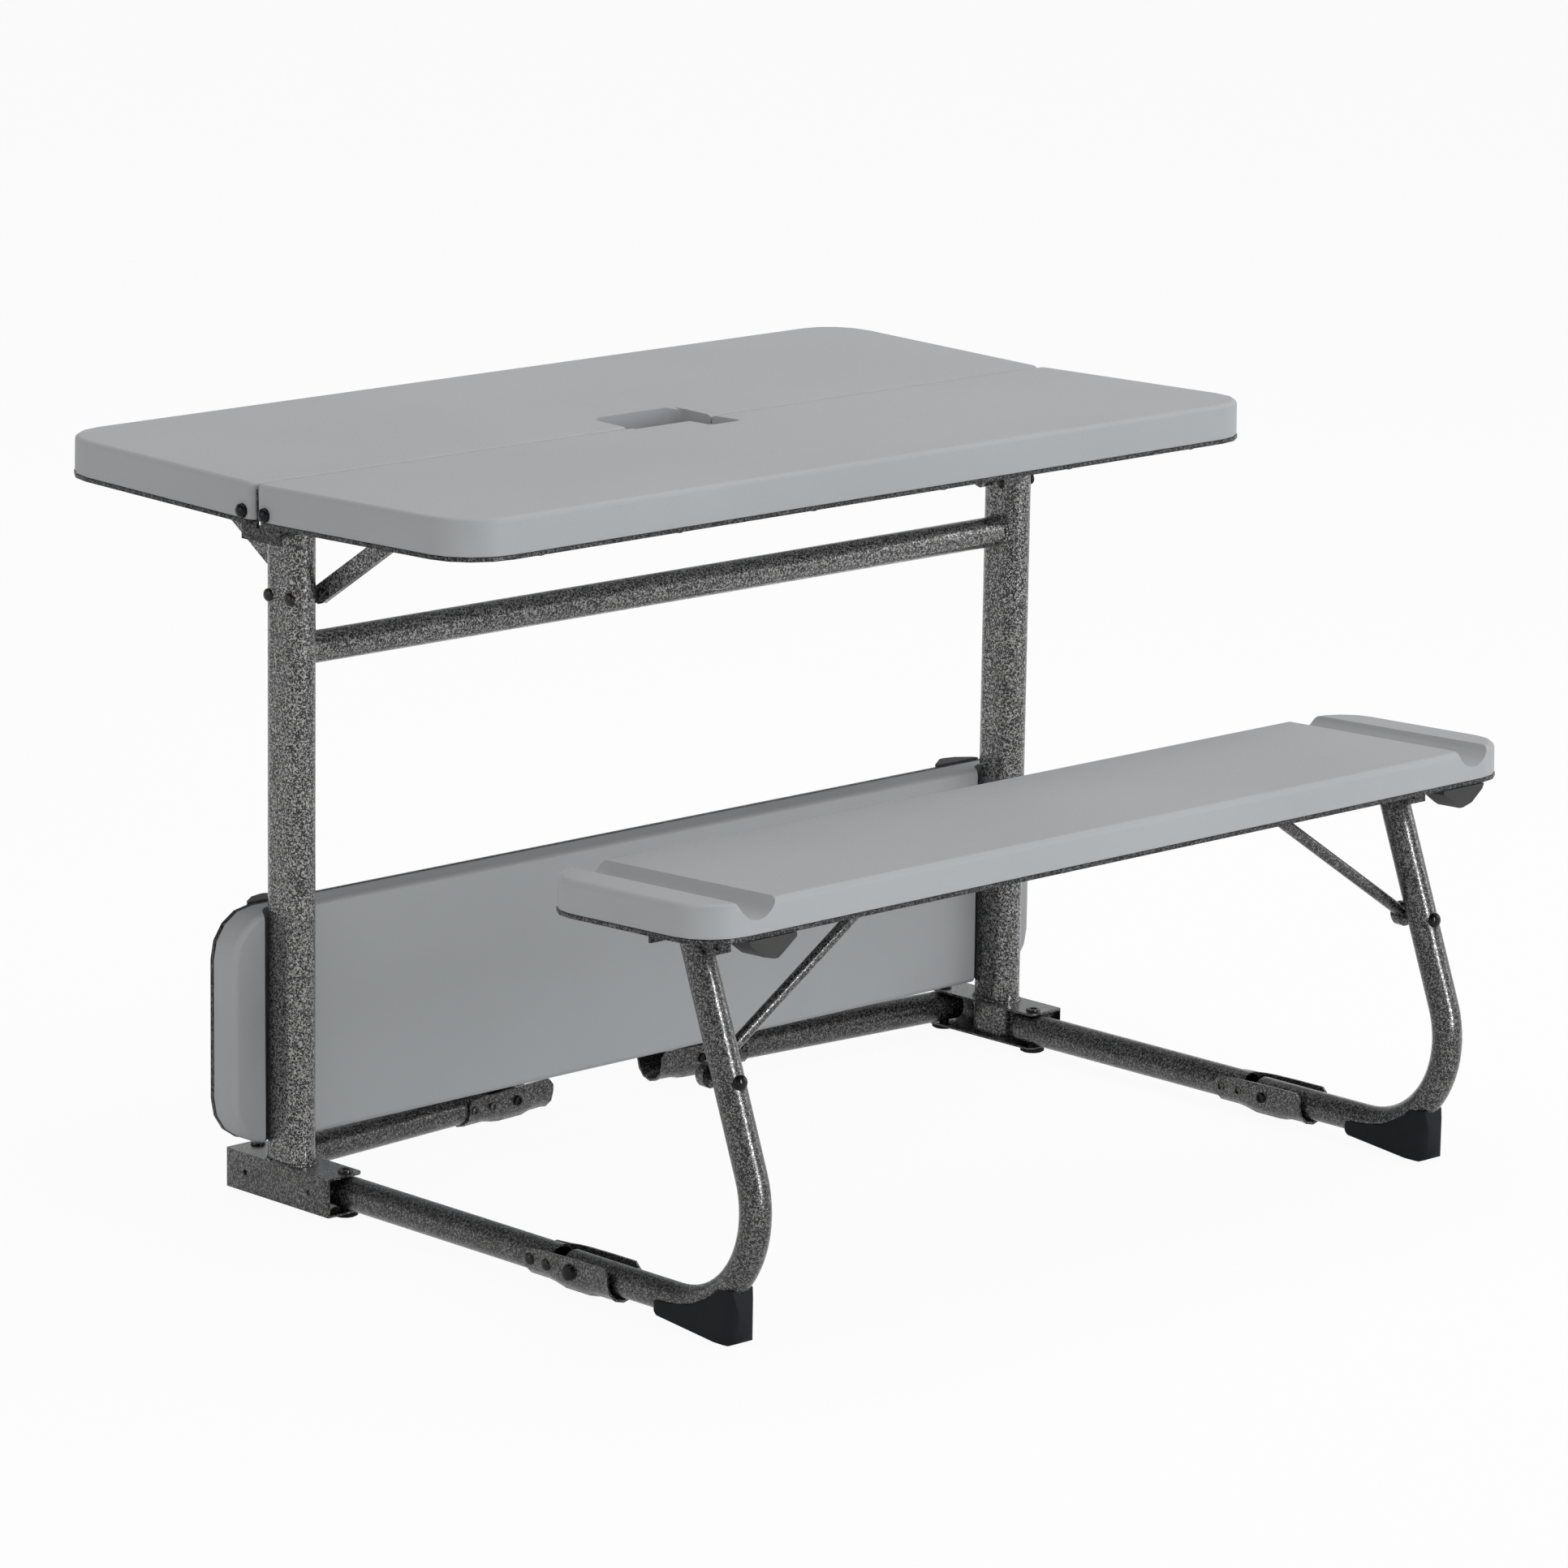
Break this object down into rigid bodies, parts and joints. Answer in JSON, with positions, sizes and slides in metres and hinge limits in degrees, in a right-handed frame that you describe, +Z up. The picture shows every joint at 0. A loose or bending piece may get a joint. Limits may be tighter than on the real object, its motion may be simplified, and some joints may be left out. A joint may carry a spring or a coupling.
{
  "type": "folding activity table with benches",
  "caption": "Child-size folding activity table: split top on steel posts, floor arms carrying plastic benches on bent legs that swing and flip flat between the posts.",
  "frame": {"origin": "centre of the bounding box at floor level", "axes": "+X along the table from the left end to the right end as seen from the front bench, +Y from the front bench towards the stowed bench, +Z up"},
  "size_m": [0.8418, 0.7394, 0.5549],
  "materials": {
    "grey_plastic": "fine pebbled moulded",
    "frame_steel": "hammertone powder coat",
    "clip_steel": "hammertone powder coat",
    "fastener_black": "glossy black",
    "moulded_black": "matte moulded"
  },
  "bodies": {
    "frame": {"left_post": "frame_steel", "left_base_channel": "frame_steel", "left_top_bracket": "frame_steel", "right_post": "frame_steel", "right_base_channel": "frame_steel", "right_top_bracket": "frame_steel", "cross_tube": "frame_steel", "front_left_glide": "moulded_black", "front_left_arm_bolt": "fastener_black", "front_left_top_bolt": "fastener_black", "front_right_glide": "moulded_black", "front_right_arm_bolt": "fastener_black", "front_right_top_bolt": "fastener_black", "back_left_glide": "moulded_black", "back_left_arm_bolt": "fastener_black", "back_left_top_bolt": "fastener_black", "back_right_glide": "moulded_black", "back_right_arm_bolt": "fastener_black", "back_right_top_bolt": "fastener_black"},
    "front_top_half": {"front_top": "grey_plastic", "front_top_rim": "frame_steel"},
    "front_bench": {"front_seat": "grey_plastic", "front_seat_rim": "frame_steel", "front_left_bumper": "moulded_black", "front_right_bumper": "moulded_black"},
    "front_left_top_stay": {"front_left_top_brace": "clip_steel"},
    "front_left_floor_arm": {"front_left_arm": "frame_steel", "front_left_clip": "clip_steel", "front_left_leg_bolt": "fastener_black"},
    "front_left_bench_leg": {"front_left_leg": "frame_steel", "front_left_foot": "moulded_black"},
    "front_left_bench_stay": {"front_left_leg_brace": "clip_steel"},
    "front_right_top_stay": {"front_right_top_brace": "clip_steel"},
    "front_right_floor_arm": {"front_right_arm": "frame_steel", "front_right_clip": "clip_steel", "front_right_leg_bolt": "fastener_black"},
    "front_right_bench_leg": {"front_right_leg": "frame_steel", "front_right_foot": "moulded_black"},
    "front_right_bench_stay": {"front_right_leg_brace": "clip_steel"},
    "back_top_half": {"back_top": "grey_plastic", "back_top_rim": "frame_steel"},
    "back_bench": {"back_seat": "grey_plastic", "back_seat_rim": "frame_steel", "back_left_bumper": "moulded_black", "back_right_bumper": "moulded_black"},
    "back_left_top_stay": {"back_left_top_brace": "clip_steel"},
    "back_left_floor_arm": {"back_left_arm": "frame_steel", "back_left_clip": "clip_steel", "back_left_leg_bolt": "fastener_black"},
    "back_left_bench_leg": {"back_left_leg": "frame_steel", "back_left_foot": "moulded_black"},
    "back_left_bench_stay": {"back_left_leg_brace": "clip_steel"},
    "back_right_top_stay": {"back_right_top_brace": "clip_steel"},
    "back_right_floor_arm": {"back_right_arm": "frame_steel", "back_right_clip": "clip_steel", "back_right_leg_bolt": "fastener_black"},
    "back_right_bench_leg": {"back_right_leg": "frame_steel", "back_right_foot": "moulded_black"},
    "back_right_bench_stay": {"back_right_leg_brace": "clip_steel"}
  },
  "joints": [
    {"name": "front_top_fold", "type": "hinge", "parent": "frame", "child": "front_top_half", "pos_m": [0, 0.11986, 0.528], "axis": [1, 0, 0], "range_deg": [0, 86]},
    {"name": "front_left_top_stay_fold", "type": "hinge", "parent": "frame", "child": "front_left_top_stay", "pos_m": [-0.3564, 0.12086, 0.4624], "axis": [1, 0, 0], "range_deg": [0, 110.28]},
    {"name": "front_right_top_stay_fold", "type": "hinge", "parent": "frame", "child": "front_right_top_stay", "pos_m": [0.3564, 0.12086, 0.4624], "axis": [1, 0, 0], "range_deg": [0, 110.28]},
    {"name": "front_bench_flip", "type": "hinge", "parent": "frame", "child": "front_bench", "pos_m": [0, -0.17204, 0.0285], "axis": [-1, 0, 0], "range_deg": [0, 90]},
    {"name": "front_left_arm_swing", "type": "hinge", "parent": "frame", "child": "front_left_floor_arm", "pos_m": [-0.3645, 0.08206, 0.0184], "axis": [0, 0, 1], "range_deg": [0, 85.3]},
    {"name": "front_left_leg_turn", "type": "hinge", "parent": "front_left_floor_arm", "child": "front_left_bench_leg", "pos_m": [-0.3645, -0.17204, 0.0285], "axis": [-1, 0, 0], "range_deg": [0, 90]},
    {"name": "front_left_bench_stay_fold", "type": "hinge", "parent": "front_left_bench_leg", "child": "front_left_bench_stay", "pos_m": [-0.3645, -0.31004, 0.1882], "axis": [0, 1, 0], "range_deg": [0, 116.5]},
    {"name": "front_right_arm_swing", "type": "hinge", "parent": "frame", "child": "front_right_floor_arm", "pos_m": [0.3645, 0.08206, 0.0184], "axis": [0, 0, -1], "range_deg": [0, 85.3]},
    {"name": "front_right_leg_turn", "type": "hinge", "parent": "front_right_floor_arm", "child": "front_right_bench_leg", "pos_m": [0.3645, -0.17204, 0.0285], "axis": [-1, 0, 0], "range_deg": [0, 90]},
    {"name": "front_right_bench_stay_fold", "type": "hinge", "parent": "front_right_bench_leg", "child": "front_right_bench_stay", "pos_m": [0.3645, -0.31004, 0.1882], "axis": [0, -1, 0], "range_deg": [0, 116.5]},
    {"name": "back_top_fold", "type": "hinge", "parent": "frame", "child": "back_top_half", "pos_m": [0, 0.14526, 0.528], "axis": [-1, 0, 0], "range_deg": [0, 86]},
    {"name": "back_left_top_stay_fold", "type": "hinge", "parent": "frame", "child": "back_left_top_stay", "pos_m": [-0.3564, 0.14426, 0.4624], "axis": [-1, 0, 0], "range_deg": [0, 110.28]},
    {"name": "back_right_top_stay_fold", "type": "hinge", "parent": "frame", "child": "back_right_top_stay", "pos_m": [0.3564, 0.14426, 0.4624], "axis": [-1, 0, 0], "range_deg": [0, 110.28]},
    {"name": "back_bench_flip", "type": "hinge", "parent": "frame", "child": "back_bench", "pos_m": [0, 0.43716, 0.0285], "axis": [-1, 0, 0], "range_deg": [0, 90]},
    {"name": "back_left_arm_swing", "type": "hinge", "parent": "frame", "child": "back_left_floor_arm", "pos_m": [-0.3645, 0.18306, 0.0184], "axis": [0, 0, 1], "range_deg": [0, 85.3]},
    {"name": "back_left_leg_turn", "type": "hinge", "parent": "back_bench", "child": "back_left_bench_leg", "pos_m": [-0.3645, 0.18306, 0.028], "axis": [0, 0, 1], "range_deg": [0, 85.3]},
    {"name": "back_left_bench_stay_fold", "type": "hinge", "parent": "back_left_bench_leg", "child": "back_left_bench_stay", "pos_m": [-0.27042, 0.19079, 0.15], "axis": [0, 0, -1], "range_deg": [0, 116.5]},
    {"name": "back_right_arm_swing", "type": "hinge", "parent": "frame", "child": "back_right_floor_arm", "pos_m": [0.3645, 0.18306, 0.0184], "axis": [0, 0, -1], "range_deg": [0, 85.3]},
    {"name": "back_right_leg_turn", "type": "hinge", "parent": "back_bench", "child": "back_right_bench_leg", "pos_m": [0.3645, 0.18306, 0.028], "axis": [0, 0, -1], "range_deg": [0, 85.3]},
    {"name": "back_right_bench_stay_fold", "type": "hinge", "parent": "back_right_bench_leg", "child": "back_right_bench_stay", "pos_m": [0.27042, 0.19079, 0.15], "axis": [0, 0, 1], "range_deg": [0, 116.5]}
  ],
  "couplings": [
    {"joint": "front_left_top_stay_fold", "follows": "front_top_fold", "ratio": 1.28},
    {"joint": "front_right_top_stay_fold", "follows": "front_top_fold", "ratio": 1.28},
    {"joint": "front_left_leg_turn", "follows": "front_bench_flip", "ratio": 1},
    {"joint": "front_left_bench_stay_fold", "follows": "front_left_arm_swing", "ratio": 1.3622},
    {"joint": "front_right_leg_turn", "follows": "front_bench_flip", "ratio": 1},
    {"joint": "front_right_bench_stay_fold", "follows": "front_right_arm_swing", "ratio": 1.3622},
    {"joint": "back_left_top_stay_fold", "follows": "back_top_fold", "ratio": 1.28},
    {"joint": "back_right_top_stay_fold", "follows": "back_top_fold", "ratio": 1.28},
    {"joint": "back_left_leg_turn", "follows": "back_left_arm_swing", "ratio": 1},
    {"joint": "back_left_bench_stay_fold", "follows": "back_left_arm_swing", "ratio": 1.3622},
    {"joint": "back_right_leg_turn", "follows": "back_right_arm_swing", "ratio": 1},
    {"joint": "back_right_bench_stay_fold", "follows": "back_right_arm_swing", "ratio": 1.3622}
  ]
}
